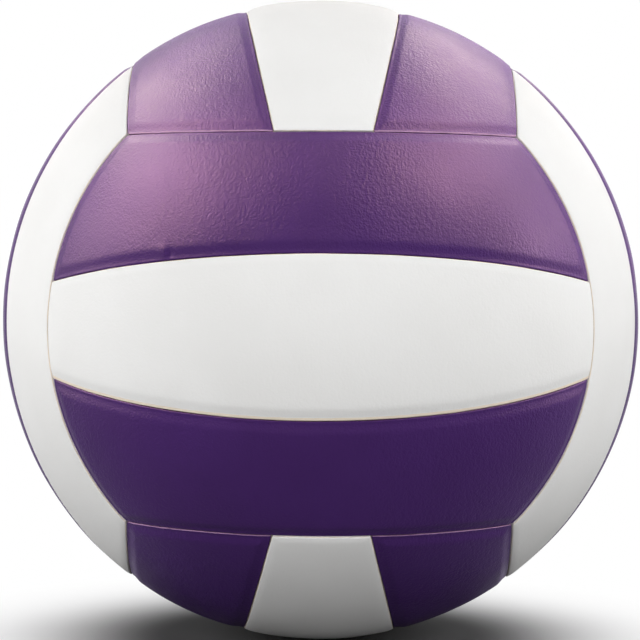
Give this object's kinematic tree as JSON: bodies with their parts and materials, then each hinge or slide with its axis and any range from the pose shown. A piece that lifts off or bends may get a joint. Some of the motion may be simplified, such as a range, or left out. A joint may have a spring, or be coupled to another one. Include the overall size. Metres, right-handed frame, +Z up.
{
  "type": "volleyball",
  "caption": "Inflated indoor volleyball with a padded purple and white panel cover over a cloth carcass, a rubber bladder and a needle valve.",
  "frame": {"origin": "centre of the ball", "axes": "+Z up through the middle of the top face, -Y out of the front face that the picture shows, +Y out through the valve, +X to the right seen from the front"},
  "size_m": [0.21, 0.21, 0.21],
  "materials": {
    "purple_cover": "finely grained, satin",
    "white_cover": "finely grained, satin",
    "carcass_cloth": "plain woven cloth with latex",
    "bladder_rubber": "smooth, matt",
    "patch_rubber": "smooth, matt",
    "valve_rubber": "moulded, matt",
    "core_rubber": "moulded, matt"
  },
  "bodies": {
    "root": {"front_upper_panel": "purple_cover", "front_lower_panel": "purple_cover", "back_upper_panel": "purple_cover", "back_lower_panel": "purple_cover", "top_left_panel": "purple_cover", "top_right_panel": "purple_cover", "bottom_left_panel": "purple_cover", "bottom_right_panel": "purple_cover", "left_middle_panel": "purple_cover", "right_middle_panel": "purple_cover", "front_middle_panel": "white_cover", "back_middle_panel": "white_cover", "top_middle_panel": "white_cover", "bottom_middle_panel": "white_cover", "left_front_panel": "white_cover", "left_back_panel": "white_cover", "right_front_panel": "white_cover", "right_back_panel": "white_cover", "carcass_outer_ply": "carcass_cloth", "carcass_inner_ply": "carcass_cloth", "bladder": "bladder_rubber", "valve_patch": "patch_rubber", "balance_patch": "patch_rubber", "valve_housing": "valve_rubber", "valve_core": "core_rubber"}
  },
  "joints": []
}
